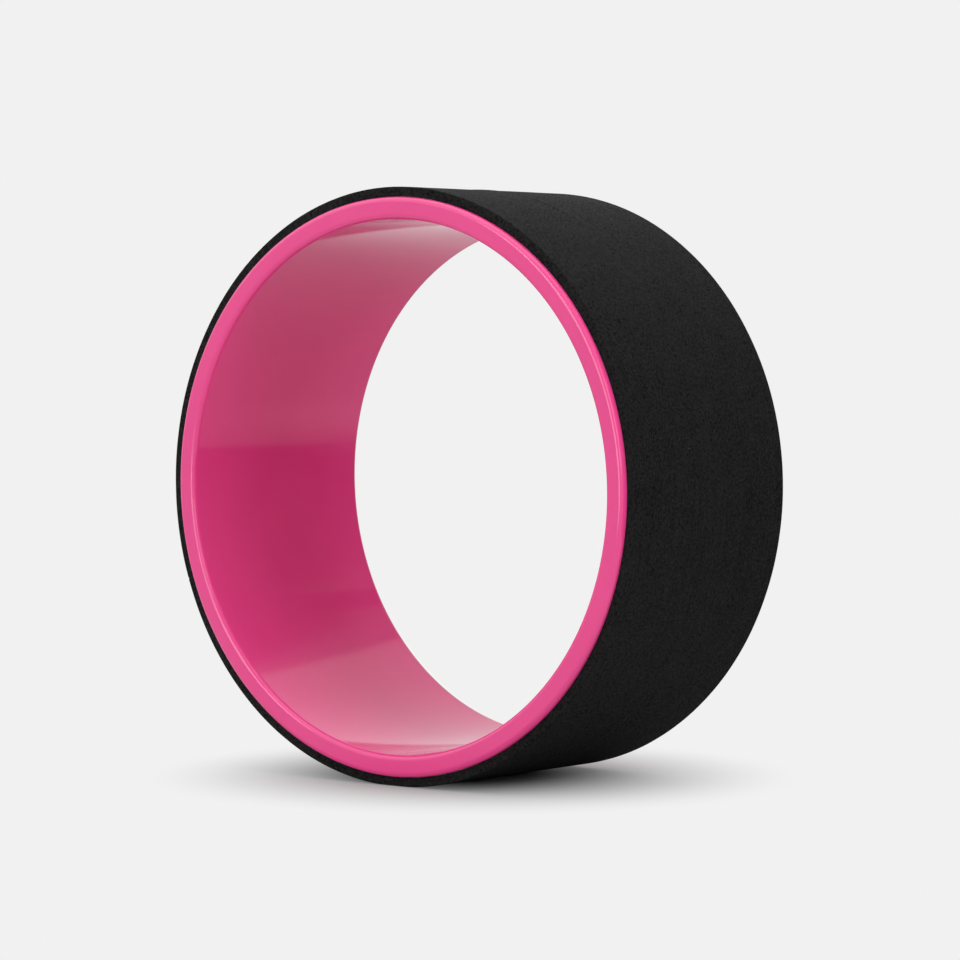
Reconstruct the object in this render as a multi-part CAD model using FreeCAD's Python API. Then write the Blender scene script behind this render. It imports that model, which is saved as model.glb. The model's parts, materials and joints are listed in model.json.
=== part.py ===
import FreeCAD, Part
import math
import os

# Yoga wheel: a hollow moulded hoop in two halves, welded at mid-width, with a foam pad taped round it.
# Millimetres. The origin is the wheel's centre, Y is its axis, the front opening faces -Y, and Z is up.
# The wheel stands on its pad, as it does on a floor.

# Whole wheel
wheel_diameter = 330.0
hoop_width = 143.0
hoop_depth = 12.2
lip_proud = 3.2

# Foam pad
pad_thickness = 5.3
pad_edge_round = 1.2
pad_edge_band_count = 2
ridge_width = 9.0
ridge_height = 0.3
standing_flat_depth = 0.5
seam_angle = 200.0
seam_width = 0.9
seam_depth = 0.6

# Double-sided tape under the pad, one strip on each half
tape_thickness = 0.2
tape_edge_inset = 1.5
tape_joint_gap = 1.0

# Moulded walls, which thicken from the joint to the lip by the draft
wall_thickness = 2.6
lip_thickness = 3.4
lip_inner_round = 3.0
lip_outer_round = 3.0
lip_round_band_count = 3
draft_angle = 0.5

# Ribs between the two walls
rib_count = 20
rib_thickness = 1.8
rib_clearance = 0.8

# Welded joint at mid-width: each wall of the front half laps inside the rear half's wall
lap_height = 1.6
lap_side_clearance = 0.1
lap_end_clearance = 0.3

# Bead that the weld leaves round the outside, pressed into the pad
bead_width = 4.0
bead_height = 0.5
bead_clearance = 0.05

# Past the edge of what is cut
overrun = 2.0

# Radii and half-widths that several pieces share
pad_radius = wheel_diameter / 2
pad_inner_radius = pad_radius - pad_thickness
hoop_radius = pad_inner_radius - tape_thickness
opening_radius = hoop_radius - hoop_depth
pocket_outer_radius = hoop_radius - wall_thickness
pocket_inner_radius = opening_radius + wall_thickness
half_width = hoop_width / 2
pad_half_width = half_width - lip_proud
rib_end = -(lap_height + lap_end_clearance + rib_clearance)

origin = FreeCAD.Vector(0, 0, 0)
wheel_axis = FreeCAD.Vector(0, 1, 0)


def rounded(before, corner, after, rounding, bands):
    """The points that round a right-angled corner off in equal bands, each a short cone when turned."""
    back = (before - corner).normalize()
    ahead = (after - corner).normalize()
    centre = corner + (back + ahead) * rounding
    turns = [math.pi / 2 * step / bands for step in range(bands + 1)]
    return [centre - (ahead * math.cos(turn) + back * math.sin(turn)) * rounding for turn in turns]


def section(corners):
    """A flat face beside the axis. A corner is (radius, y), or (radius, y, rounding, band count)."""
    places = [FreeCAD.Vector(corner[0], corner[1], 0) for corner in corners]
    points = []
    for index, corner in enumerate(corners):
        if len(corner) > 2:
            after = places[(index + 1) % len(places)]
            points += rounded(places[index - 1], places[index], after, corner[2], corner[3])
        else:
            points.append(places[index])
    return Part.Face(Part.makePolygon(points + points[:1]))


def turned(corners, angle=360):
    """The solid that a section sweeps round the wheel's axis."""
    return section(corners).revolve(origin, wheel_axis, angle)


def mirrored(shape):
    """The rear twin of a piece on the front side."""
    return shape.mirror(origin, wheel_axis)


def pocket_cells():
    """The drafted spaces between the ribs."""
    depth = half_width - lip_thickness
    taper = (depth + rib_end) * math.tan(math.radians(draft_angle))
    pitch = 360 / rib_count
    rib_angle = math.degrees(2 * math.asin(rib_thickness / (pocket_inner_radius + pocket_outer_radius)))
    cell = turned([
        (pocket_inner_radius, rib_end),
        (pocket_inner_radius + taper, -depth),
        (pocket_outer_radius - taper, -depth),
        (pocket_outer_radius, rib_end),
    ], pitch - rib_angle)
    return [cell.rotated(origin, wheel_axis, index * pitch) for index in range(rib_count)]


def joint_channel():
    """The space past the ribs' ends, so that only the two walls meet at the joint."""
    return turned([
        (pocket_inner_radius, rib_end),
        (pocket_outer_radius, rib_end),
        (pocket_outer_radius, lap_height + overrun),
        (pocket_inner_radius, lap_height + overrun),
    ])


def half_hoop(lap_reach, lap_offset):
    """One moulding on the front side: two walls, a rounded lip, ribs, and lapped edges at the joint."""
    lap_outer_radius = hoop_radius - wall_thickness / 2 + lap_offset
    lap_inner_radius = opening_radius + wall_thickness / 2 - lap_offset
    block = turned([
        (opening_radius, 0),
        (opening_radius, -half_width, lip_inner_round, lip_round_band_count),
        (hoop_radius, -half_width, lip_outer_round, lip_round_band_count),
        (hoop_radius, -bead_width / 2),
        (hoop_radius + bead_height, 0),
        (lap_outer_radius, 0),
        (lap_outer_radius, lap_reach),
        (lap_inner_radius, lap_reach),
        (lap_inner_radius, 0),
    ])
    return block.cut(pocket_cells() + [joint_channel()])


def pad_tape():
    """The front strip of tape, from near the pad's edge to beside the weld bead."""
    far_edge = -pad_half_width + tape_edge_inset
    near_edge = -bead_width / 2 - tape_joint_gap
    return turned([
        (hoop_radius, far_edge),
        (pad_inner_radius, far_edge),
        (pad_inner_radius, near_edge),
        (hoop_radius, near_edge),
    ])


def foam_pad():
    """The wrapped strip: soft edges, a faint ridge over the weld, a butt seam, and a flat where it stands."""
    bead_slope = bead_height / (bead_width / 2)
    crease_radius = hoop_radius + bead_height + bead_clearance
    crease_half_width = (crease_radius - pad_inner_radius) / bead_slope
    pad = turned([
        (pad_inner_radius, -pad_half_width),
        (pad_radius, -pad_half_width, pad_edge_round, pad_edge_band_count),
        (pad_radius, -ridge_width / 2),
        (pad_radius + ridge_height, 0),
        (pad_radius, ridge_width / 2),
        (pad_radius, pad_half_width, pad_edge_round, pad_edge_band_count),
        (pad_inner_radius, pad_half_width),
        (pad_inner_radius, crease_half_width),
        (crease_radius, 0),
        (pad_inner_radius, -crease_half_width),
    ])
    return pad.cut([seam_notch(), floor_slab()])


def seam_notch():
    """The shallow V that the strip's two soft-edged ends leave where they butt together."""
    root = FreeCAD.Vector(pad_radius - seam_depth, 0, 0)
    rim = pad_radius + ridge_height
    flare = seam_width / 2 * (rim - root.x) / seam_depth
    outline = [root, FreeCAD.Vector(rim, 0, flare), FreeCAD.Vector(rim, 0, -flare), root]
    length = 2 * (pad_half_width + overrun)
    notch = Part.Face(Part.makePolygon(outline)).extrude(wheel_axis * length)
    notch.translate(wheel_axis * (-length / 2))
    return notch.rotated(origin, wheel_axis, -seam_angle)


def floor_slab():
    """The floor, which presses the foam flat under the wheel."""
    reach = pad_radius + overrun
    floor_height = -pad_radius + standing_flat_depth
    thickness = standing_flat_depth + ridge_height + overrun
    corner = FreeCAD.Vector(-reach, -half_width, floor_height - thickness)
    return Part.makeBox(2 * reach, hoop_width, thickness, corner)


half_clearance = lap_side_clearance / 2
pieces = {
    "front_half_hoop": half_hoop(lap_height, -half_clearance),
    "rear_half_hoop": mirrored(half_hoop(-lap_height - lap_end_clearance, half_clearance)),
    "front_pad_tape": pad_tape(),
    "rear_pad_tape": mirrored(pad_tape()),
    "foam_pad": foam_pad(),
}

os.makedirs("parts", exist_ok=True)
for name, shape in pieces.items():
    shape.exportStep(f"parts/{name}.step")
    print(name, "solids", len(shape.Solids), "valid", shape.isValid(), "volume", round(shape.Volume))
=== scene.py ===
# %% [markdown]
# # A yoga wheel, dressed for a render
# The real wheel is a hollow plastic hoop, moulded in two halves that are welded together at mid-width,
# with a strip of closed-cell foam taped round it as a tread. The CAD part holds the sizes and the solids,
# so this script only loads it as a fixed frame and builds the looks around it.

# %% Load the frame
import json
import math
import bpy
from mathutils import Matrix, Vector


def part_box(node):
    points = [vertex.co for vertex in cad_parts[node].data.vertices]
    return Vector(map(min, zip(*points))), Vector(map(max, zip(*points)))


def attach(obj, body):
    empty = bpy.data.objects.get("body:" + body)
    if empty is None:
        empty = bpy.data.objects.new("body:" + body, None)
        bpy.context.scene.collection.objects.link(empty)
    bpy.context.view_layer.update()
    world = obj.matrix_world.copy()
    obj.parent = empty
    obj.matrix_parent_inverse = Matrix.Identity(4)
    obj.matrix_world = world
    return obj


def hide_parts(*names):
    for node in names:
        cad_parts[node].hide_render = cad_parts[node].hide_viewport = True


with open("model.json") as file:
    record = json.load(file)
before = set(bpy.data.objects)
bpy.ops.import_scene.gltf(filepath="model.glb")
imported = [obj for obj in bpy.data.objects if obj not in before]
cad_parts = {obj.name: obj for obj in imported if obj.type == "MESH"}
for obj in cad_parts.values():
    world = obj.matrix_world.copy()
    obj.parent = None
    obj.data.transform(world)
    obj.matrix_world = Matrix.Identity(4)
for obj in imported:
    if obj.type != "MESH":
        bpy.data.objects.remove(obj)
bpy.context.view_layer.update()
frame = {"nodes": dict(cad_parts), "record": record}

# %% [markdown]
# ## Read the sizes from the frame
# Sizes that are typed twice drift apart. The radii and widths are therefore read from the boxes of the CAD
# nodes and from the record's mount for the opening. Only sizes that no box shows are named here.

# %% Radii and widths
MILLIMETRE = 0.001
TAPE_THICKNESS = 0.2 * MILLIMETRE
RIDGE_HEIGHT = 0.3 * MILLIMETRE

opening_mount = next(mount for mount in frame["record"]["mounts"] if mount["name"] == "opening")
opening_radius = opening_mount["dims"]["r_mm"] * MILLIMETRE
pad_inner_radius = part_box("front_pad_tape")[1][0]
hoop_radius = pad_inner_radius - TAPE_THICKNESS
bead_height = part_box("front_half_hoop")[1][0] - hoop_radius
half_width = -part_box("front_half_hoop")[0][1]
pad_half_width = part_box("foam_pad")[1][1]
floor_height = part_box("foam_pad")[0][2]
pad_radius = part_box("foam_pad")[1][0] - RIDGE_HEIGHT
print("radii in metres: opening", opening_radius, "hoop", hoop_radius, "pad", pad_inner_radius, pad_radius)

# %% [markdown]
# ## Helpers for node trees
# Materials and Geometry Nodes are both trees of nodes. One helper adds a node with its settings and inputs,
# and a second one writes sums as nodes, so that each tree below reads nearly like a formula. The others start
# a tree of shapes, end it, and turn what it makes into a plain mesh.

# %% Node helpers
def set_inputs(tree, node, inputs):
    """Sets inputs of a node. Each is a plain value or the output of another node."""
    for key, value in inputs.items():
        if isinstance(value, bpy.types.NodeSocket):
            tree.links.new(value, node.inputs[key])
        else:
            node.inputs[key].default_value = value


def add_node(tree, kind, inputs=None, **settings):
    """Adds one node, with its settings and inputs."""
    node = tree.nodes.new(kind)
    for name, value in settings.items():
        setattr(node, name, value)
    set_inputs(tree, node, inputs or {})
    return node


def calculate(tree, operation, *values):
    """Adds one sum, such as ADD or MULTIPLY, and gives its result."""
    return add_node(tree, "ShaderNodeMath", dict(enumerate(values)), operation=operation).outputs[0]


# %% Helpers for trees of shapes
def new_shape_tree(name, sizes):
    """A Geometry Nodes tree with named inputs. Gives the tree and its inputs by name."""
    tree = bpy.data.node_groups.new(name, "GeometryNodeTree")
    for size_name, socket_type in sizes.items():
        tree.interface.new_socket(size_name, in_out="INPUT", socket_type=socket_type)
    tree.interface.new_socket("Mesh", in_out="OUTPUT", socket_type="NodeSocketGeometry")
    return tree, tree.nodes.new("NodeGroupInput").outputs


def end_shape_tree(tree, mesh, material):
    """Every tree ends in the same way: real faces, with a material on them."""
    realized = add_node(tree, "GeometryNodeRealizeInstances", {"Geometry": mesh}).outputs[0]
    inputs = {"Geometry": realized, "Material": material}
    painted = add_node(tree, "GeometryNodeSetMaterial", inputs).outputs[0]
    tree.links.new(painted, tree.nodes.new("NodeGroupOutput").inputs[0])


def make_piece(name, tree, values):
    """Runs a tree and keeps the result as a plain mesh, with no modifier left on it."""
    piece = bpy.data.objects.new(name, bpy.data.meshes.new(name + "_start"))
    bpy.context.scene.collection.objects.link(piece)
    modifier = piece.modifiers.new("shape", "NODES")
    modifier.node_group = tree
    for item in tree.interface.items_tree:
        if item.in_out == "INPUT":
            modifier[item.identifier] = values[item.name]
    shaped = piece.evaluated_get(bpy.context.evaluated_depsgraph_get())
    mesh = bpy.data.meshes.new_from_object(shaped)
    piece.modifiers.remove(modifier)
    piece.data = mesh
    mesh.name = name
    mesh.calc_loop_triangles()
    print(name, "has", len(mesh.vertices), "points and", len(mesh.loop_triangles), "triangles")
    return piece


# %% [markdown]
# ## The gloss of the hoop
# The hoop is moulded in a hot pink plastic with a polished tool, so it mirrors the studio softly. A mirror
# that is too perfect looks like glass: the real skin has a slight swell where the plastic shrank, and its
# polish varies. Noise on Object coordinates gives the swell to a bump, and a little change to the colour and
# the roughness. The helpers that mix colours, spread noise and raise bumps serve the other finishes too.

# %% Finish helpers
MILLIMETRES_IN_METRE = 1000.0
NOISE_LOW = 0.3
NOISE_HIGH = 0.7


def start_material(name):
    """A material with nodes. Gives it with its tree."""
    material = bpy.data.materials.new(name)
    material.use_nodes = True
    return material, material.node_tree


def main_shader(tree):
    """The shader that every new material starts with."""
    return tree.nodes["Principled BSDF"]


def place_on_piece(tree):
    """Object coordinates, in which a pattern stays on its piece."""
    return add_node(tree, "ShaderNodeTexCoord").outputs["Object"]


def noise(tree, place, feature_mm, detail=2.0):
    """Soft noise whose lumps are about as large as the size given."""
    inputs = {"Vector": place, "Scale": MILLIMETRES_IN_METRE / feature_mm, "Detail": detail}
    return add_node(tree, "ShaderNodeTexNoise", inputs).outputs["Fac"]


def between(tree, value, low, high):
    """Spreads noise, which stays near a half, over a range."""
    inputs = {"Value": value, "From Min": NOISE_LOW, "From Max": NOISE_HIGH, "To Min": low, "To Max": high}
    return add_node(tree, "ShaderNodeMapRange", inputs).outputs["Result"]


def blend_colours(tree, share, first, second):
    """A colour between two others, each fixed or the output of a node."""
    inputs = {"Factor": share, "A": first, "B": second}
    return add_node(tree, "ShaderNodeMix", inputs, data_type="RGBA").outputs["Result"]


def raise_bump(tree, height, lift_mm, under=None):
    """A bump of the given lift, on top of another bump if there is one."""
    inputs = {"Height": height, "Strength": 1.0, "Distance": lift_mm * MILLIMETRE}
    if under is not None:
        inputs["Normal"] = under
    return add_node(tree, "ShaderNodeBump", inputs).outputs["Normal"]


# %% Hoop plastic
DEEP_PINK = (0.735, 0.047, 0.228, 1.0)
PALE_PINK = (0.765, 0.053, 0.242, 1.0)
SHADE_PATCH_MM = 60.0
POLISH_PATCH_MM = 9.0
BEST_POLISH = 0.06
WORST_POLISH = 0.09
SWELL_MM = 9.0
SWELL_LIFT_MM = 0.006
SKIN_GRAIN_MM = 0.7
SKIN_GRAIN_LIFT_MM = 0.0006
PLASTIC_IOR = 1.5


def make_hoop_plastic():
    material, tree = start_material("polished_pink_plastic")
    place = place_on_piece(tree)
    shade = between(tree, noise(tree, place, SHADE_PATCH_MM), 0.0, 1.0)
    polish = between(tree, noise(tree, place, POLISH_PATCH_MM, detail=4.0), BEST_POLISH, WORST_POLISH)
    swell = raise_bump(tree, noise(tree, place, SWELL_MM, detail=1.0), SWELL_LIFT_MM)
    grain = raise_bump(tree, noise(tree, place, SKIN_GRAIN_MM), SKIN_GRAIN_LIFT_MM, swell)
    set_inputs(tree, main_shader(tree), {
        "Base Color": blend_colours(tree, shade, DEEP_PINK, PALE_PINK),
        "Roughness": polish,
        "Normal": grain,
        "IOR": PLASTIC_IOR,
    })
    return material


hoop_plastic = make_hoop_plastic()
print("made", hoop_plastic.name)

# %% [markdown]
# ## The two halves of the hoop
# Each half is a ring with one section all the way round: an inner wall, a lip with two rounded edges, an
# outer wall, and a lapped edge where it is welded to its twin. Such a ring could be spun or screwed, but as
# nodes the section stays a list of named sizes. Curve to Mesh sweeps it round a circle, and the lip's two
# corners are rounded by Fillet Curve, finer than the CAD solid can be. Ribs between the walls are one box,
# put on the points of a second circle, and a boolean joins them to the walls.

# %% Sizes of a half
WALL = 2.6 * MILLIMETRE
LIP_THICKNESS = 3.4 * MILLIMETRE
LIP_ROUND = 3.0 * MILLIMETRE
HOLD_DISTANCE = 0.2 * MILLIMETRE
BEAD_WIDTH = 4.0 * MILLIMETRE
DRAFT_ANGLE = math.radians(0.5)
LAP_REACH = 1.6 * MILLIMETRE
LAP_END_GAP = 0.3 * MILLIMETRE
LAP_SIDE_GAP = 0.1 * MILLIMETRE
RIB_THICKNESS = 1.8 * MILLIMETRE
RIB_CLEARANCE = 0.8 * MILLIMETRE
RIB_COUNT = 20

HALF_SIZES = {
    "Opening Radius": "NodeSocketFloat",
    "Hoop Radius": "NodeSocketFloat",
    "Half Width": "NodeSocketFloat",
    "Wall": "NodeSocketFloat",
    "Lip Thickness": "NodeSocketFloat",
    "Lip Round": "NodeSocketFloat",
    "Bead Width": "NodeSocketFloat",
    "Bead Height": "NodeSocketFloat",
    "Draft": "NodeSocketFloat",
    "Lap Reach": "NodeSocketFloat",
    "Lap Offset": "NodeSocketFloat",
    "Rib End": "NodeSocketFloat",
    "Rib Thickness": "NodeSocketFloat",
    "Rib Count": "NodeSocketInt",
    "Round Steps": "NodeSocketInt",
    "Ring Steps": "NodeSocketInt",
    "Loop Spacing": "NodeSocketFloat",
    "Side": "NodeSocketFloat",
    "Material": "NodeSocketMaterial",
}
print("a half has", len(HALF_SIZES), "inputs")

# %% [markdown]
# The section is listed corner by corner. A corner close to each end of a round holds the flat beside it, so
# that smooth shading stays on the round and the wall next to it still looks straight.

# %% Section of a half
LIP_CORNERS = (2, 5)


def half_corners(tree, size):
    """The section's corners, as (radius, y), from the joint round the lip and back through the pocket."""
    def less(a, b):
        return calculate(tree, "SUBTRACT", a, b)

    def plus(a, b):
        return calculate(tree, "ADD", a, b)

    lip_face = less(0.0, size["Half Width"])
    beside_round = plus(size["Lip Round"], HOLD_DISTANCE)
    round_end = plus(lip_face, beside_round)
    pocket_floor = plus(lip_face, size["Lip Thickness"])
    pocket_outer = less(size["Hoop Radius"], size["Wall"])
    pocket_inner = plus(size["Opening Radius"], size["Wall"])
    half_wall = calculate(tree, "MULTIPLY", size["Wall"], 0.5)
    lap_outer = plus(less(size["Hoop Radius"], half_wall), size["Lap Offset"])
    lap_inner = less(plus(size["Opening Radius"], half_wall), size["Lap Offset"])
    taper = calculate(tree, "MULTIPLY", less(size["Rib End"], pocket_floor), size["Draft"])
    bead_foot = calculate(tree, "MULTIPLY", size["Bead Width"], -0.5)
    return [
        (size["Opening Radius"], 0.0),
        (size["Opening Radius"], round_end),
        (size["Opening Radius"], lip_face),
        (plus(size["Opening Radius"], beside_round), lip_face),
        (less(size["Hoop Radius"], beside_round), lip_face),
        (size["Hoop Radius"], lip_face),
        (size["Hoop Radius"], round_end),
        (size["Hoop Radius"], bead_foot),
        (plus(size["Hoop Radius"], size["Bead Height"]), 0.0),
        (lap_outer, 0.0),
        (lap_outer, size["Lap Reach"]),
        (pocket_outer, size["Lap Reach"]),
        (pocket_outer, size["Rib End"]),
        (less(pocket_outer, taper), pocket_floor),
        (plus(pocket_inner, taper), pocket_floor),
        (pocket_inner, size["Rib End"]),
        (pocket_inner, size["Lap Reach"]),
        (lap_inner, size["Lap Reach"]),
        (lap_inner, 0.0),
    ]


# %% [markdown]
# A ring needs two curves: the circle that it follows and the section that it carries. Both come from a line
# of points that Set Position moves into place. The circle's normals point outwards, so the section's first
# coordinate is the radius and its second one runs along the wheel's axis. Extra loops on the long walls keep
# the smooth shading of the rounded lip from leaking across them.

# %% Curve helpers
INDEX_TOLERANCE = 0.1


def line_of_points(tree, count):
    """A line of points that still lie on one spot, with the index that tells them apart."""
    line = add_node(tree, "GeometryNodeMeshLine", {"Count": count}).outputs[0]
    index = add_node(tree, "GeometryNodeInputIndex").outputs[0]
    return line, index


def placed(tree, geometry, position):
    """Moves points to their places."""
    inputs = {"Geometry": geometry, "Position": position}
    return add_node(tree, "GeometryNodeSetPosition", inputs).outputs[0]


def section_curve(tree, corners, round_corners, rounding, round_steps, path_radius):
    """A closed section through the corners, set back by the path's radius, with two corners rounded."""
    line, index = line_of_points(tree, len(corners))
    chooser = add_node(tree, "GeometryNodeIndexSwitch", {"Index": index}, data_type="VECTOR")
    while len(chooser.index_switch_items) < len(corners):
        chooser.index_switch_items.new()
    for number, (radius, along) in enumerate(corners):
        reach = calculate(tree, "SUBTRACT", radius, path_radius)
        spot = add_node(tree, "ShaderNodeCombineXYZ", {"X": reach, "Y": along}).outputs[0]
        tree.links.new(spot, chooser.inputs[number + 1])
    line = placed(tree, line, chooser.outputs[0])
    curve = add_node(tree, "GeometryNodeMeshToCurve", {"Mesh": line}).outputs[0]
    curve = add_node(tree, "GeometryNodeSetSplineCyclic", {"Geometry": curve, "Cyclic": True}).outputs[0]
    first_round, last_round = round_corners
    from_middle = calculate(tree, "SUBTRACT", index, (first_round + last_round) / 2)
    from_middle = calculate(tree, "ABSOLUTE", from_middle)
    is_rounded = calculate(tree, "COMPARE", from_middle, (last_round - first_round) / 2, INDEX_TOLERANCE)
    inputs = {
        "Curve": curve,
        "Radius": calculate(tree, "MULTIPLY", is_rounded, rounding),
        "Count": calculate(tree, "MULTIPLY", is_rounded, round_steps),
    }
    return add_node(tree, "GeometryNodeFilletCurve", inputs, mode="POLY").outputs[0]


def extra_loops(tree, curve, spacing):
    """Cuts each long run of a section into steps of about the spacing."""
    here = add_node(tree, "GeometryNodeInputPosition").outputs[0]
    following = add_node(tree, "GeometryNodeOffsetPointInCurve", {"Offset": 1}).outputs["Point Index"]
    ahead = add_node(tree, "GeometryNodeFieldAtIndex", {"Index": following}, data_type="FLOAT_VECTOR")
    tree.links.new(here, ahead.inputs["Value"])
    run = add_node(tree, "ShaderNodeVectorMath", {0: here, 1: ahead.outputs[0]}, operation="DISTANCE")
    cuts = calculate(tree, "FLOOR", calculate(tree, "DIVIDE", run.outputs["Value"], spacing))
    return add_node(tree, "GeometryNodeSubdivideCurve", {"Curve": curve, "Cuts": cuts}).outputs[0]


# %% Ring helpers
MERGE_DISTANCE = 0.001 * MILLIMETRE


def outward_normals(tree, path):
    """Turns the path's normals away from the wheel's axis."""
    here = add_node(tree, "GeometryNodeInputPosition").outputs[0]
    inputs = {"Curve": path, "Normal": here}
    return add_node(tree, "GeometryNodeSetCurveNormal", inputs, mode="FREE").outputs[0]


def swept(tree, path, section, fill_caps):
    """Carries the section along the path, and merges the points that meet."""
    inputs = {"Curve": path, "Profile Curve": section, "Fill Caps": fill_caps}
    mesh = add_node(tree, "GeometryNodeCurveToMesh", inputs).outputs[0]
    inputs = {"Geometry": mesh, "Distance": MERGE_DISTANCE}
    return add_node(tree, "GeometryNodeMergeByDistance", inputs).outputs[0]


def smooth_but_creased(tree, mesh, crease_degrees):
    """Smooth shading, with an edge kept sharp where the surface turns by more than the angle."""
    angle = add_node(tree, "GeometryNodeInputMeshEdgeAngle").outputs["Unsigned Angle"]
    is_soft = calculate(tree, "LESS_THAN", angle, math.radians(crease_degrees))
    inputs = {"Geometry": mesh, "Shade Smooth": True}
    mesh = add_node(tree, "GeometryNodeSetShadeSmooth", inputs).outputs[0]
    inputs = {"Geometry": mesh, "Shade Smooth": is_soft}
    return add_node(tree, "GeometryNodeSetShadeSmooth", inputs, domain="EDGE").outputs[0]


# %% [markdown]
# The ribs stand between the two walls like spokes, and tie them together. They stop short of the joint, so
# that only the walls meet their twins there. Each is a box that runs a little into both walls, where the
# boolean makes them one.

# %% Ribs
RIB_OVERRUN = 0.6 * MILLIMETRE


def circle_path(tree, steps, radius):
    """A circle round the wheel's axis, which is the Y axis."""
    circle = add_node(tree, "GeometryNodeCurvePrimitiveCircle", {"Resolution": steps, "Radius": radius})
    upright = {"Geometry": circle.outputs["Curve"], "Rotation": (math.pi / 2, 0.0, 0.0)}
    return add_node(tree, "GeometryNodeTransform", upright).outputs[0]


def rib_box(tree, size, depth):
    """One rib, still on the wheel's axis and lying along it."""
    radial = calculate(tree, "MULTIPLY_ADD", size["Wall"], -2.0, depth)
    radial = calculate(tree, "ADD", radial, 2 * RIB_OVERRUN)
    far_end = calculate(tree, "SUBTRACT", size["Lip Thickness"], size["Half Width"])
    far_end = calculate(tree, "SUBTRACT", far_end, RIB_OVERRUN)
    length = calculate(tree, "SUBTRACT", size["Rib End"], far_end)
    centre = calculate(tree, "MULTIPLY", calculate(tree, "ADD", size["Rib End"], far_end), 0.5)
    box_size = {"X": radial, "Y": length, "Z": size["Rib Thickness"]}
    box_size = add_node(tree, "ShaderNodeCombineXYZ", box_size).outputs[0]
    rib = add_node(tree, "GeometryNodeMeshCube", {"Size": box_size}).outputs["Mesh"]
    offset = add_node(tree, "ShaderNodeCombineXYZ", {"Y": centre}).outputs[0]
    return add_node(tree, "GeometryNodeTransform", {"Geometry": rib, "Translation": offset}).outputs[0]


def rib_ring(tree, size):
    """One rib on each point of a circle, turned to face the wheel's axis."""
    depth = calculate(tree, "SUBTRACT", size["Hoop Radius"], size["Opening Radius"])
    middle = calculate(tree, "MULTIPLY_ADD", depth, 0.5, size["Opening Radius"])
    circle = circle_path(tree, size["Rib Count"], middle)
    spots = add_node(tree, "GeometryNodeCurveToPoints", {"Curve": circle}, mode="EVALUATED")
    here = add_node(tree, "GeometryNodeInputPosition").outputs[0]
    axes = {"Primary Axis": here, "Secondary Axis": (0.0, 1.0, 0.0)}
    facing = add_node(tree, "FunctionNodeAxesToRotation", axes, primary_axis="X", secondary_axis="Y")
    inputs = {
        "Points": spots.outputs["Points"],
        "Instance": rib_box(tree, size, depth),
        "Rotation": facing.outputs[0],
    }
    ribs = add_node(tree, "GeometryNodeInstanceOnPoints", inputs).outputs[0]
    return add_node(tree, "GeometryNodeRealizeInstances", {"Geometry": ribs}).outputs[0]


# %% Tree of a half
HOOP_CREASE_DEGREES = 30.0


def make_half_tree():
    tree, size = new_shape_tree("half_hoop", HALF_SIZES)
    corners = half_corners(tree, size)
    inner = size["Opening Radius"]
    section = section_curve(tree, corners, LIP_CORNERS, size["Lip Round"], size["Round Steps"], inner)
    section = extra_loops(tree, section, size["Loop Spacing"])
    path = outward_normals(tree, circle_path(tree, size["Ring Steps"], inner))
    walls = swept(tree, path, section, False)
    joined = add_node(tree, "GeometryNodeMeshBoolean", operation="UNION", solver="MANIFOLD")
    tree.links.new(walls, joined.inputs["Mesh 2"])
    tree.links.new(rib_ring(tree, size), joined.inputs["Mesh 2"])
    scale = add_node(tree, "ShaderNodeCombineXYZ", {"X": 1.0, "Y": size["Side"], "Z": 1.0}).outputs[0]
    inputs = {"Geometry": joined.outputs["Mesh"], "Scale": scale}
    turned = add_node(tree, "GeometryNodeTransform", inputs).outputs[0]
    is_mirrored = calculate(tree, "LESS_THAN", size["Side"], 0.0)
    mesh = add_node(tree, "GeometryNodeFlipFaces", {"Mesh": turned, "Selection": is_mirrored}).outputs[0]
    end_shape_tree(tree, smooth_but_creased(tree, mesh, HOOP_CREASE_DEGREES), size["Material"])
    return tree


half_tree = make_half_tree()
print("half hoop tree has", len(half_tree.nodes), "nodes")

# %% [markdown]
# Both halves come from the same tree. The front half has a tongue on each wall, so its lap reaches past the
# joint. The rear half has the rebate that takes the tongue, so its lap reaches back, and its Side of -1
# mirrors it.

# %% Front and rear half
CUBIC_CENTIMETRES_IN_METRE = 1e6

front_values = {
    "Opening Radius": opening_radius,
    "Hoop Radius": hoop_radius,
    "Half Width": half_width,
    "Wall": WALL,
    "Lip Thickness": LIP_THICKNESS,
    "Lip Round": LIP_ROUND,
    "Bead Width": BEAD_WIDTH,
    "Bead Height": bead_height,
    "Draft": math.tan(DRAFT_ANGLE),
    "Lap Reach": LAP_REACH,
    "Lap Offset": -LAP_SIDE_GAP / 2,
    "Rib End": -(LAP_REACH + LAP_END_GAP + RIB_CLEARANCE),
    "Rib Thickness": RIB_THICKNESS,
    "Rib Count": RIB_COUNT,
    "Round Steps": 12,
    "Ring Steps": 360,
    "Loop Spacing": 3.0 * MILLIMETRE,
    "Side": 1.0,
    "Material": hoop_plastic,
}
rear_values = dict(front_values)
rear_values["Lap Reach"] = -(LAP_REACH + LAP_END_GAP)
rear_values["Lap Offset"] = LAP_SIDE_GAP / 2
rear_values["Side"] = -1.0


def enclosed_volume(piece):
    """The volume inside a closed mesh, in cubic centimetres. It is negative if the mesh is inside out."""
    corners = [vertex.co for vertex in piece.data.vertices]
    total = 0.0
    for triangle in piece.data.loop_triangles:
        first, second, third = (corners[index] for index in triangle.vertices)
        total += first.dot(second.cross(third)) / 6.0
    return round(total * CUBIC_CENTIMETRES_IN_METRE, 1)


front_half = make_piece("front_half", half_tree, front_values)
rear_half = make_piece("rear_half", half_tree, rear_values)
print("plastic in the halves:", enclosed_volume(front_half), enclosed_volume(rear_half), "cubic centimetres")

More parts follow.
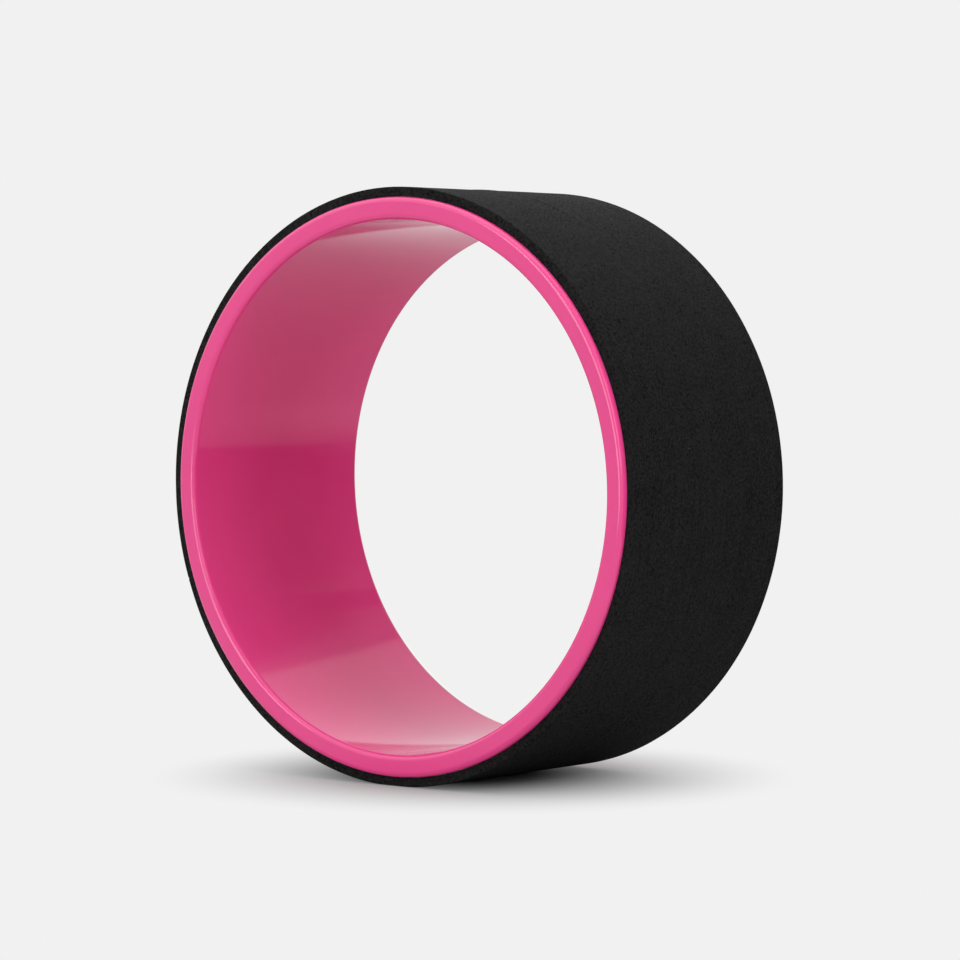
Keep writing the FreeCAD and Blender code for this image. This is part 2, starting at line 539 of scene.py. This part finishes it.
for half, node in ((front_half, "front_half_hoop"), (rear_half, "rear_half_hoop")):
    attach(half, "root")
    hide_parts(node)

# %% [markdown]
# ## The foam
# The tread is closed-cell foam, cut from a sheet. It is nearly black and matt, and only its fine cells catch
# the light. Its skin shines a little in places, while the cut edges show opened cells, so they are rougher.
# Noise and Voronoi cells make the grain, and a second noise lets the shine come and go, so that the grain
# also shows where light grazes the tread. Streaks round the wheel come from the sheet's making, and a few
# pale specks are dust in the cells.

# %% Colours of the foam
DARK_SKIN = (0.0010, 0.0010, 0.0011, 1.0)
PALE_SKIN = (0.0158, 0.0156, 0.0158, 1.0)
DARK_CUT = (0.0004, 0.0004, 0.0004, 1.0)
PALE_CUT = (0.0145, 0.0143, 0.0145, 1.0)
SPECK_COLOUR = (0.16, 0.16, 0.155, 1.0)
CLOUD_MM = 16.0
CLOUD_SHARE = 0.15
STREAK_MM = 2.5
STREAK_SQUEEZE = (0.02, 1.0, 0.02)
STREAK_SHARE = 0.2
DARKEST_TONE = 0.42
PALEST_TONE = 0.93
SPECK_SPACING_MM = 11.0
SPECK_REACH = 0.022
SPECK_LOT = 0.8


def squeezed(tree, place, squeeze):
    """The place on the piece, squeezed along some axes, so that noise on it is drawn out there."""
    return add_node(tree, "ShaderNodeMapping", {"Vector": place, "Scale": squeeze}).outputs[0]


def voronoi_cells(tree, place, cell_mm):
    """Cells of about the size given."""
    inputs = {"Vector": place, "Scale": MILLIMETRES_IN_METRE / cell_mm}
    return add_node(tree, "ShaderNodeTexVoronoi", inputs).outputs


def foam_colour(tree, place, fine, is_cut_edge):
    """Black that varies with the cells, on the skin and on the cut edges."""
    cloudy = noise(tree, place, CLOUD_MM)
    streaks = noise(tree, squeezed(tree, place, STREAK_SQUEEZE), STREAK_MM)
    tone = calculate(tree, "MULTIPLY_ADD", cloudy, CLOUD_SHARE, fine)
    tone = calculate(tree, "MULTIPLY_ADD", streaks, STREAK_SHARE, tone)
    inputs = {"Value": tone, "From Min": DARKEST_TONE, "From Max": PALEST_TONE}
    tone = add_node(tree, "ShaderNodeMapRange", inputs).outputs["Result"]
    skin = blend_colours(tree, tone, DARK_SKIN, PALE_SKIN)
    cut = blend_colours(tree, tone, DARK_CUT, PALE_CUT)
    return blend_colours(tree, is_cut_edge, skin, cut)


def with_specks(tree, place, colour):
    """Pale specks near the middle of a few large cells."""
    cells = voronoi_cells(tree, place, SPECK_SPACING_MM)
    is_close = calculate(tree, "LESS_THAN", cells["Distance"], SPECK_REACH)
    lot = add_node(tree, "ShaderNodeSeparateColor", {"Color": cells["Color"]}).outputs["Red"]
    is_speck = calculate(tree, "MULTIPLY", is_close, calculate(tree, "GREATER_THAN", lot, SPECK_LOT))
    return blend_colours(tree, is_speck, colour, SPECK_COLOUR)


# %% Foam
CUT_EDGE_START = 0.3 * MILLIMETRE
CUT_EDGE_FULL = 0.05 * MILLIMETRE
GRAIN_MM = 1.2
GRAIN_LIFT_MM = 0.16
PORE_MM = 0.8
PORE_LIFT_MM = 0.05
OPENED_SHARE = 0.6
LEAST_ROUGH = 0.72
MOST_ROUGH = 0.92
SHINE_MM = 0.9
SHINE_SQUEEZE = (0.6, 0.8, 0.6)
MOST_SHINE = 0.2


def make_foam():
    material, tree = start_material("closed_cell_foam")
    place = place_on_piece(tree)
    fine = noise(tree, place, GRAIN_MM)
    across = add_node(tree, "ShaderNodeSeparateXYZ", {"Vector": place}).outputs["Y"]
    edge_inputs = {
        "Value": calculate(tree, "ABSOLUTE", across),
        "From Min": pad_half_width - CUT_EDGE_START,
        "From Max": pad_half_width - CUT_EDGE_FULL,
    }
    is_cut_edge = add_node(tree, "ShaderNodeMapRange", edge_inputs).outputs["Result"]
    pores = voronoi_cells(tree, place, PORE_MM)["Distance"]
    opened = calculate(tree, "MULTIPLY_ADD", is_cut_edge, OPENED_SHARE, 1.0)
    grain = raise_bump(tree, calculate(tree, "MULTIPLY", fine, opened), GRAIN_LIFT_MM)
    grain = raise_bump(tree, calculate(tree, "MULTIPLY", pores, opened), PORE_LIFT_MM, grain)
    patches = noise(tree, squeezed(tree, place, SHINE_SQUEEZE), SHINE_MM)
    shader = main_shader(tree)
    # An export that drops the link below still finds the mean shine.
    shader.inputs["Specular IOR Level"].default_value = MOST_SHINE / 2
    set_inputs(tree, shader, {
        "Base Color": with_specks(tree, place, foam_colour(tree, place, fine, is_cut_edge)),
        "Roughness": between(tree, fine, LEAST_ROUGH, MOST_ROUGH),
        "Normal": grain,
        "Specular IOR Level": between(tree, patches, 0.0, MOST_SHINE),
    })
    return material


foam = make_foam()
print("made", foam.name)

# %% [markdown]
# ## The foam pad
# The pad is one strip, wrapped round the hoop, whose two ends butt together. A closed ring would hide that,
# so the strip follows an open circle that starts and ends at the seam, on the side away from the photograph.
# Its rings gather towards both ends, where the strip's drawn-in edges need them. Then each point is moved in
# or out: up over the weld bead at mid-width, down into the seam, up and down a little as soft foam is, and
# flat on the floor.

# %% Sizes of the pad
PAD_SIZES = {
    "Inner Radius": "NodeSocketFloat",
    "Outer Radius": "NodeSocketFloat",
    "Half Width": "NodeSocketFloat",
    "Edge Round": "NodeSocketFloat",
    "Crease Radius": "NodeSocketFloat",
    "Crease Half Width": "NodeSocketFloat",
    "Ridge Height": "NodeSocketFloat",
    "Ridge Half Width": "NodeSocketFloat",
    "Seam Angle": "NodeSocketFloat",
    "Seam Gap": "NodeSocketFloat",
    "Seam Reach": "NodeSocketFloat",
    "Seam Depth": "NodeSocketFloat",
    "Unevenness": "NodeSocketFloat",
    "Seed": "NodeSocketFloat",
    "Floor Height": "NodeSocketFloat",
    "Ring Count": "NodeSocketInt",
    "Round Steps": "NodeSocketInt",
    "Loop Spacing": "NodeSocketFloat",
    "Material": "NodeSocketMaterial",
}
print("the pad has", len(PAD_SIZES), "inputs")

# %% Path and section of the pad
FULL_TURN = 2 * math.pi
GATHER = 0.93
TREAD_CORNERS = (4, 5)


def strip_path(tree, size):
    """An open circle from one side of the seam to the other. A point keeps its share of the way, along."""
    line, index = line_of_points(tree, size["Ring Count"])
    last = calculate(tree, "SUBTRACT", size["Ring Count"], 1.0)
    even = calculate(tree, "DIVIDE", index, last)
    wave = calculate(tree, "SINE", calculate(tree, "MULTIPLY", even, FULL_TURN))
    along = calculate(tree, "MULTIPLY_ADD", wave, -GATHER / FULL_TURN, even)
    gap_angle = calculate(tree, "DIVIDE", size["Seam Gap"], size["Outer Radius"])
    sweep = calculate(tree, "SUBTRACT", FULL_TURN, gap_angle)
    start = calculate(tree, "MULTIPLY_ADD", gap_angle, 0.5, size["Seam Angle"])
    angle = calculate(tree, "MULTIPLY_ADD", along, sweep, start)
    x = calculate(tree, "MULTIPLY", calculate(tree, "COSINE", angle), size["Inner Radius"])
    z = calculate(tree, "MULTIPLY", calculate(tree, "SINE", angle), size["Inner Radius"])
    spot = add_node(tree, "ShaderNodeCombineXYZ", {"X": x, "Z": z}).outputs[0]
    stored = {"Geometry": line, "Name": "along", "Value": along}
    line = add_node(tree, "GeometryNodeStoreNamedAttribute", stored, domain="POINT").outputs[0]
    line = placed(tree, line, spot)
    path = add_node(tree, "GeometryNodeMeshToCurve", {"Mesh": line}).outputs[0]
    return outward_normals(tree, path)


def pad_corners(tree, size):
    """The strip's section, from the crease over the weld bead round the strip and back."""
    near_side = calculate(tree, "MULTIPLY", size["Half Width"], -1.0)
    near_crease = calculate(tree, "MULTIPLY", size["Crease Half Width"], -1.0)
    return [
        (size["Inner Radius"], size["Crease Half Width"]),
        (size["Crease Radius"], 0.0),
        (size["Inner Radius"], near_crease),
        (size["Inner Radius"], near_side),
        (size["Outer Radius"], near_side),
        (size["Outer Radius"], size["Half Width"]),
        (size["Inner Radius"], size["Half Width"]),
    ]


# %% Soft surface of the pad
LUMPS_PER_METRE = 28.0


def fade(tree, value, reach, height):
    """Falls softly from the height to nothing as the value grows to the reach."""
    inputs = {"Value": value, "From Max": reach, "To Min": height, "To Max": 0.0}
    return add_node(tree, "ShaderNodeMapRange", inputs, interpolation_type="SMOOTHSTEP").outputs["Result"]


def seam_dip(tree, size):
    """How deep the strip's ends are drawn in, by the way left to the seam."""
    along = add_node(tree, "GeometryNodeInputNamedAttribute", {"Name": "along"}).outputs["Attribute"]
    nearest_end = calculate(tree, "MINIMUM", along, calculate(tree, "SUBTRACT", 1.0, along))
    circumference = calculate(tree, "MULTIPLY", size["Outer Radius"], FULL_TURN)
    to_seam = calculate(tree, "MULTIPLY", nearest_end, circumference)
    return fade(tree, to_seam, size["Seam Reach"], size["Seam Depth"])


def soft_surface(tree, size, mesh):
    """Moves the strip's points in or out, most at the tread, and keeps them from going under the floor."""
    here = add_node(tree, "GeometryNodeInputPosition").outputs[0]
    part = add_node(tree, "ShaderNodeSeparateXYZ", {"Vector": here}).outputs
    flat = add_node(tree, "ShaderNodeCombineXYZ", {"X": part["X"], "Z": part["Z"]}).outputs[0]
    radius = add_node(tree, "ShaderNodeVectorMath", {0: flat}, operation="LENGTH").outputs["Value"]
    outward = add_node(tree, "ShaderNodeVectorMath", {0: flat}, operation="NORMALIZE").outputs[0]
    inputs = {"Value": radius, "From Min": size["Inner Radius"], "From Max": size["Outer Radius"]}
    depth_share = add_node(tree, "ShaderNodeMapRange", inputs).outputs["Result"]

    from_middle = calculate(tree, "ABSOLUTE", part["Y"])
    ridge = fade(tree, from_middle, size["Ridge Half Width"], size["Ridge Height"])
    lumps = {"Vector": here, "W": size["Seed"], "Scale": LUMPS_PER_METRE, "Detail": 1.0}
    lumps = add_node(tree, "ShaderNodeTexNoise", lumps, noise_dimensions="4D").outputs["Fac"]
    uneven = calculate(tree, "MULTIPLY", calculate(tree, "SUBTRACT", lumps, 0.5), size["Unevenness"])
    lift = calculate(tree, "SUBTRACT", calculate(tree, "ADD", ridge, uneven), seam_dip(tree, size))
    lift = calculate(tree, "MULTIPLY", lift, depth_share)
    move = add_node(tree, "ShaderNodeVectorMath", {0: outward, "Scale": lift}, operation="SCALE").outputs[0]
    moved = add_node(tree, "GeometryNodeSetPosition", {"Geometry": mesh, "Offset": move}).outputs[0]

    height = calculate(tree, "MAXIMUM", part["Z"], size["Floor Height"])
    inputs = {"X": part["X"], "Y": part["Y"], "Z": height}
    return placed(tree, moved, add_node(tree, "ShaderNodeCombineXYZ", inputs).outputs[0])


# %% Tree of the pad
PAD_CREASE_DEGREES = 40.0


def make_pad_tree():
    tree, size = new_shape_tree("wrapped_strip", PAD_SIZES)
    corners = pad_corners(tree, size)
    inner = size["Inner Radius"]
    section = section_curve(tree, corners, TREAD_CORNERS, size["Edge Round"], size["Round Steps"], inner)
    section = extra_loops(tree, section, size["Loop Spacing"])
    strip = swept(tree, strip_path(tree, size), section, True)
    strip = soft_surface(tree, size, strip)
    end_shape_tree(tree, smooth_but_creased(tree, strip, PAD_CREASE_DEGREES), size["Material"])
    return tree


pad_tree = make_pad_tree()
print("pad tree has", len(pad_tree.nodes), "nodes")

# %% The pad
BEAD_CLEARANCE = 0.05 * MILLIMETRE

pad_values = {
    "Inner Radius": pad_inner_radius,
    "Outer Radius": pad_radius,
    "Half Width": pad_half_width,
    "Edge Round": 0.6 * MILLIMETRE,
    "Crease Radius": hoop_radius + bead_height + BEAD_CLEARANCE,
    "Crease Half Width": 1.4 * MILLIMETRE,
    "Ridge Height": RIDGE_HEIGHT,
    "Ridge Half Width": 3.5 * MILLIMETRE,
    "Seam Angle": math.radians(200.0),
    "Seam Gap": 0.01 * MILLIMETRE,
    "Seam Reach": 0.6 * MILLIMETRE,
    "Seam Depth": 0.5 * MILLIMETRE,
    "Unevenness": 0.25 * MILLIMETRE,
    "Seed": 7.0,
    "Floor Height": floor_height,
    "Ring Count": 540,
    "Round Steps": 8,
    "Loop Spacing": 1.9 * MILLIMETRE,
    "Material": foam,
}
pad = make_piece("wrapped_foam_strip", pad_tree, pad_values)
print("foam in the pad:", enclosed_volume(pad), "cubic centimetres")
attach(pad, "root")
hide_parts("foam_pad")

# %% [markdown]
# ## The tape
# Two strips of double-sided tape hold the pad. They lie hidden between the hoop and the foam, and their CAD
# shape is right, so they keep their nodes and only get a finish: pale fibre tape with adhesive showing
# between its threads.

# %% Tape
ADHESIVE_COLOUR = (0.66, 0.63, 0.55, 1.0)
FIBRE_COLOUR = (0.78, 0.76, 0.7, 1.0)
ADHESIVE_ROUGHNESS = 0.5
FIBRE_ROUGHNESS = 0.75
THREAD_MM = 0.6
THREAD_SQUEEZE = (0.1, 1.0, 0.1)
THREAD_LIFT_MM = 0.02


def make_tape():
    material, tree = start_material("fibre_tape")
    threads = noise(tree, squeezed(tree, place_on_piece(tree), THREAD_SQUEEZE), THREAD_MM)
    is_fibre = between(tree, threads, 0.0, 1.0)
    set_inputs(tree, main_shader(tree), {
        "Base Color": blend_colours(tree, is_fibre, ADHESIVE_COLOUR, FIBRE_COLOUR),
        "Roughness": between(tree, threads, ADHESIVE_ROUGHNESS, FIBRE_ROUGHNESS),
        "Normal": raise_bump(tree, threads, THREAD_LIFT_MM),
    })
    return material


tape = make_tape()
for node in ("front_pad_tape", "rear_pad_tape"):
    strip = frame["nodes"][node]
    for slot_place in strip.material_slots:
        slot_place.material = tape
    print(node, "now has", strip.material_slots[0].material.name)

# %% [markdown]
# ## Floor
# The wheel stands on a plain pale floor. Near the wheel the floor is an ordinary matt surface, so it takes
# the shadow. Far from it, the floor fades into the same pale tone as the world behind, so no horizon cuts
# through the picture. The camera and gloss see the near floor in a darker tone than the one that throws
# light back: painted shade, which makes the shadow deep at the contact and keeps the hoop bright. In a gloss
# this painted dark floor reaches farther out, as painted shade that keeps the tread's underside dark, and
# the world is white, so that the plastic shows a plain studio.

# %% Background tones
BACKGROUND_TONE = 0.88
MIRRORED_TONE = 1.0
WORLD_LIGHT = 0.35


def grey(tone):
    """An opaque grey."""
    return (tone, tone, tone, 1.0)


def is_camera_ray(tree):
    """One for rays that come straight from the camera."""
    return add_node(tree, "ShaderNodeLightPath").outputs["Is Camera Ray"]


def shows_background(tree):
    """One for rays that look at the background, straight or in a gloss, and nought for rays that light."""
    path = add_node(tree, "ShaderNodeLightPath").outputs
    seen = calculate(tree, "MAXIMUM", path["Is Camera Ray"], path["Is Glossy Ray"])
    return calculate(tree, "MAXIMUM", seen, path["Is Transmission Ray"])


def make_world():
    world = bpy.data.worlds.new("studio")
    world.use_nodes = True
    tree = world.node_tree
    lit = add_node(tree, "ShaderNodeBackground", {"Color": grey(WORLD_LIGHT)}).outputs[0]
    tone = blend_colours(tree, is_camera_ray(tree), grey(MIRRORED_TONE), grey(BACKGROUND_TONE))
    seen = add_node(tree, "ShaderNodeBackground", {"Color": tone}).outputs[0]
    inputs = {0: shows_background(tree), 1: lit, 2: seen}
    mixed = add_node(tree, "ShaderNodeMixShader", inputs).outputs[0]
    tree.links.new(mixed, tree.nodes["World Output"].inputs["Surface"])
    bpy.context.scene.world = world
    print("made world", world.name)


make_world()

# %% Floor
FLOOR_RADIUS = 12.0
FLOOR_STEPS = 96
FLOOR_TONE = 0.58
# Painted shade: rays that see the floor get this darker tone near the wheel, which deepens the shadow.
PAINTED_SHADE_FLOOR_TONE = 0.3
SEEN_FADE_START = 0.03
SEEN_FADE_END = 0.19
# In gloss the painted dark floor reaches this far, as painted shade on the tread's underside.
MIRRORED_FADE_START = 0.08
MIRRORED_FADE_END = 0.28


def fade_with_distance(tree):
    """Nought near the wheel and one far from it, where far begins sooner for the camera than in gloss."""
    is_camera = is_camera_ray(tree)
    to_seen_start = SEEN_FADE_START - MIRRORED_FADE_START
    to_seen_end = SEEN_FADE_END - MIRRORED_FADE_END
    level = {0: place_on_piece(tree), 1: (1.0, 1.0, 0.0)}
    flat = add_node(tree, "ShaderNodeVectorMath", level, operation="MULTIPLY").outputs[0]
    inputs = {
        "Value": add_node(tree, "ShaderNodeVectorMath", {0: flat}, operation="LENGTH").outputs["Value"],
        "From Min": calculate(tree, "MULTIPLY_ADD", is_camera, to_seen_start, MIRRORED_FADE_START),
        "From Max": calculate(tree, "MULTIPLY_ADD", is_camera, to_seen_end, MIRRORED_FADE_END),
    }
    return add_node(tree, "ShaderNodeMapRange", inputs, interpolation_type="SMOOTHSTEP").outputs["Result"]


def make_floor_finish():
    material, tree = start_material("pale_floor")
    shader = main_shader(tree)
    # Painted shade: rays that see the floor take the darker painted tone, the bounce keeps the paler one.
    seen = shows_background(tree)
    set_inputs(tree, shader, {
        "Base Color": blend_colours(tree, seen, grey(FLOOR_TONE), grey(PAINTED_SHADE_FLOOR_TONE)),
        "Roughness": 0.9,
        "Specular IOR Level": 0.1,
    })
    glow = add_node(tree, "ShaderNodeEmission", {"Color": grey(BACKGROUND_TONE)}).outputs[0]
    share = calculate(tree, "MULTIPLY", fade_with_distance(tree), seen)
    mixed = add_node(tree, "ShaderNodeMixShader", {0: share, 1: shader.outputs[0], 2: glow}).outputs[0]
    tree.links.new(mixed, tree.nodes["Material Output"].inputs["Surface"])
    return material


def make_floor():
    """A wide disc under the wheel."""
    turns = [FULL_TURN * step / FLOOR_STEPS for step in range(FLOOR_STEPS)]
    points = [(FLOOR_RADIUS * math.cos(turn), FLOOR_RADIUS * math.sin(turn), floor_height) for turn in turns]
    mesh = bpy.data.meshes.new("floor")
    mesh.from_pydata(points, [], [list(range(FLOOR_STEPS))])
    mesh.materials.append(make_floor_finish())
    floor = bpy.data.objects.new("floor", mesh)
    bpy.context.scene.collection.objects.link(floor)
    print("floor at", round(floor_height, 4), "metres")


make_floor()

# %% [markdown]
# ## Light
# Two soft boxes stand in front, one to the left and one behind the camera. Each draws a thin bright line
# along the rounded lip. A wide dim panel high on the left fills the lip's face, two boxes on the right reach
# under the rim into the opening, a panel behind keeps the far lip pink, and one above lights the tread and
# makes the soft shadow. The boxes on the right and the panel behind aren't seen in gloss, because a third
# line on the lip would be one too many.

# %% Lamps
def towards(azimuth, elevation):
    """The direction from the wheel at those angles, in degrees, counted as the views are."""
    turn = math.radians(azimuth)
    rise = math.radians(elevation)
    return Vector((math.sin(turn) * math.cos(rise), -math.cos(turn) * math.cos(rise), math.sin(rise)))


def make_soft_box(name, place, width, height, radiance, in_gloss=True):
    """A rectangle of even light that faces the wheel. Its power follows from its size and its brightness."""
    lamp = bpy.data.lights.new(name, "AREA")
    lamp.shape = "RECTANGLE"
    lamp.size = width
    lamp.size_y = height
    lamp.energy = radiance * math.pi * width * height
    holder = bpy.data.objects.new(name, lamp)
    holder.location = place
    holder.rotation_euler = place.to_track_quat("Z", "Y").to_euler()
    holder.visible_camera = False
    holder.visible_glossy = in_gloss
    bpy.context.scene.collection.objects.link(holder)
    print(name, "gives", round(lamp.energy, 1), "watts")


left = towards(-15.0, 12.0) * 2.0
high_left = towards(-50.0, 45.0) * 2.0
by_camera = towards(37.0, 17.0) * 2.65
right = towards(78.0, 36.0) * 1.7
rear_right = towards(99.0, 16.0) * 1.8
back = towards(200.0, 30.0) * 2.2
above = Vector((0.1, 0.15, 1.6))
make_soft_box("left_box", left, width=0.9, height=1.25, radiance=3.45)
make_soft_box("high_left_panel", high_left, width=2.4, height=2.4, radiance=0.74)
make_soft_box("camera_box", by_camera, width=0.8, height=1.35, radiance=2.2)
make_soft_box("right_box", right, width=0.55, height=0.8, radiance=7.8, in_gloss=False)
make_soft_box("rear_box", rear_right, width=0.55, height=0.8, radiance=3.6, in_gloss=False)
make_soft_box("back_panel", back, width=1.6, height=1.6, radiance=1.1, in_gloss=False)
make_soft_box("top_box", above, width=1.6, height=1.6, radiance=1.1)

# %% [markdown]
# ## Painted reflections in the inner wall
# The inner wall shines at a low angle, so it mirrors what lies behind the wheel. Three glowing sheets,
# which are no lamps and which only gloss sees, paint that reflection. One is a dark card on the floor,
# darkest at its foot and paler towards its far end, and one hangs farther back with a slanted lower edge.
# Their painted reflection keeps the pink deep in the middle of the wall. A thin dark line and a half-tone
# wedge soften the slanted edge, and a grey mat on the floor, darker towards the near card, paints a dimmer
# reflection on the wall's upper part. Each is a strip of faces between rows of points, and a point carries
# the tone that glows there.

# %% Sheets of painted reflection
def make_painted_reflection(name, rows, tones):
    """A sheet of painted reflection between rows of points: it glows with the tone of each point, and only
    gloss sees it.
    """
    length = len(rows[0])
    points = [point for row in rows for point in row]
    faces = []
    for row in range(len(rows) - 1):
        for step in range(length - 1):
            first = row * length + step
            faces.append((first, first + 1, first + length + 1, first + length))
    mesh = bpy.data.meshes.new(name)
    mesh.from_pydata(points, [], faces)
    values = [tone for row in tones for tone in row]
    mesh.attributes.new("tone", "FLOAT", "POINT").data.foreach_set("value", values)
    material, tree = start_material(name)
    tone = add_node(tree, "ShaderNodeAttribute", attribute_name="tone").outputs["Fac"]
    glow = add_node(tree, "ShaderNodeEmission", {"Strength": tone}).outputs[0]
    tree.links.new(glow, tree.nodes["Material Output"].inputs["Surface"])
    mesh.materials.append(material)
    sheet = bpy.data.objects.new(name, mesh)
    sheet.visible_camera = False
    sheet.visible_diffuse = False
    sheet.visible_shadow = False
    bpy.context.scene.collection.objects.link(sheet)
    print(name, "has", len(faces), "faces")


# %% Painted reflection of a near card
# Each place along the painted near card has x, y, the tone at its foot and the tone above.
PAINTED_REFLECTION_NEAR_CARD = [
    (0.7, -0.5, 0.02, 0.11),
    (0.62, 0.0, 0.02, 0.11),
    (0.45, 0.5, 0.05, 0.14),
    (0.45, 0.71, 0.02, 0.11),
    (0.45, 0.78, 0.22, 0.26),
    (0.36, 1.47, 0.22, 0.26),
    (0.3, 1.8, 0.22, 0.26),
]
PAINTED_REFLECTION_NEAR_CARD_LEAN = 0.3
PAINTED_REFLECTION_NEAR_CARD_MIDDLE = 0.15
PAINTED_REFLECTION_NEAR_CARD_TOP = 0.6

foot = floor_height + MILLIMETRE
painted_reflection_near_rows = []
for height in (foot, PAINTED_REFLECTION_NEAR_CARD_MIDDLE, PAINTED_REFLECTION_NEAR_CARD_TOP):
    lean = PAINTED_REFLECTION_NEAR_CARD_LEAN * (height - foot)
    painted_reflection_near_rows.append([(x, y + lean, height) for x, y, foot_tone, tone in PAINTED_REFLECTION_NEAR_CARD])
near_reflection_foot_tones = [foot_tone for x, y, foot_tone, tone in PAINTED_REFLECTION_NEAR_CARD]
near_reflection_tones = [tone for x, y, foot_tone, tone in PAINTED_REFLECTION_NEAR_CARD]
make_painted_reflection("painted_reflection_near_card", painted_reflection_near_rows, [near_reflection_foot_tones, near_reflection_tones, near_reflection_tones])

# %% Painted reflection of a far card
# Each place along the painted far card has x, and the lower and upper end of the half-tone wedge.
PAINTED_REFLECTION_FAR_CARD = [
    (2.4, -0.12, 0.0),
    (1.04, -0.12, 0.0),
    (0.94, 1.38, 1.68),
    (0.5, 1.75, 1.97),
    (0.17, 2.04, 2.15),
    (-0.66, 2.7, 2.81),
]
PAINTED_REFLECTION_FAR_CARD_Y = 2.4
PAINTED_REFLECTION_FAR_CARD_TOP = 3.6
SOFT_EDGE = 0.06
DARK_REFLECTION_TONE = 0.11
HALF_REFLECTION_TONE = 0.42
LINE_REFLECTION_TONE = 0.22

painted_reflection_far_rows = [
    [(x, PAINTED_REFLECTION_FAR_CARD_Y, low - SOFT_EDGE) for x, low, high in PAINTED_REFLECTION_FAR_CARD],
    [(x, PAINTED_REFLECTION_FAR_CARD_Y, low) for x, low, high in PAINTED_REFLECTION_FAR_CARD],
    [(x, PAINTED_REFLECTION_FAR_CARD_Y, low + (high - low) / 3) for x, low, high in PAINTED_REFLECTION_FAR_CARD],
    [(x, PAINTED_REFLECTION_FAR_CARD_Y, high - (high - low) / 3) for x, low, high in PAINTED_REFLECTION_FAR_CARD],
    [(x, PAINTED_REFLECTION_FAR_CARD_Y, high + SOFT_EDGE) for x, low, high in PAINTED_REFLECTION_FAR_CARD],
    [(x, PAINTED_REFLECTION_FAR_CARD_Y, PAINTED_REFLECTION_FAR_CARD_TOP) for x, low, high in PAINTED_REFLECTION_FAR_CARD],
]
far_reflection_row_tones = (MIRRORED_TONE, LINE_REFLECTION_TONE, HALF_REFLECTION_TONE, HALF_REFLECTION_TONE, DARK_REFLECTION_TONE, DARK_REFLECTION_TONE)
make_painted_reflection("painted_reflection_far_card", painted_reflection_far_rows, [[tone] * len(PAINTED_REFLECTION_FAR_CARD) for tone in far_reflection_row_tones])

# %% Painted reflection of a grey mat
# The painted reflection's tone changes with y, and towards the near card it is dimmed with x.
PAINTED_REFLECTION_MAT_COURSE = [(0.12, 0.42), (0.35, 0.5), (0.55, 0.82), (0.9, 0.95), (2.0, BACKGROUND_TONE)]
PAINTED_REFLECTION_MAT_SHADE = [(-2.0, 1.0), (0.2, 1.0), (0.3, 0.66), (0.4, 0.45), (0.45, 0.2), (0.66, 0.2)]

painted_reflection_mat_rows = [[(x, y, foot) for y, tone in PAINTED_REFLECTION_MAT_COURSE] for x, shade in PAINTED_REFLECTION_MAT_SHADE]
painted_reflection_mat_tones = [[tone * shade for y, tone in PAINTED_REFLECTION_MAT_COURSE] for x, shade in PAINTED_REFLECTION_MAT_SHADE]
make_painted_reflection("painted_reflection_grey_mat", painted_reflection_mat_rows, painted_reflection_mat_tones)

# %% [markdown]
# ## Camera
# The camera was fitted to the photograph: its angle, distance and lens put nearly every edge of the hoop
# where the picture has it. A small shift sets the wheel a little left of the middle.

# %% Camera
CAMERA_AZIMUTH = 39.0
CAMERA_ELEVATION = 2.35
CAMERA_DISTANCE = 2.1499
LENS_MM = 143.1
SENSOR_MM = 36.0

camera_data = bpy.data.cameras.new("camera")
camera_data.lens = LENS_MM
camera_data.sensor_width = SENSOR_MM
camera_data.shift_x = 0.0081
camera_data.shift_y = 0.0038
camera_data.clip_end = 100.0
camera = bpy.data.objects.new("camera", camera_data)
view_direction = towards(CAMERA_AZIMUTH, CAMERA_ELEVATION)
camera.location = view_direction * CAMERA_DISTANCE
camera.rotation_euler = view_direction.to_track_quat("Z", "Y").to_euler()
bpy.context.scene.collection.objects.link(camera)
bpy.context.scene.camera = camera
bpy.context.scene.view_settings.view_transform = "Standard"
print("camera at", [round(value, 3) for value in camera.location])
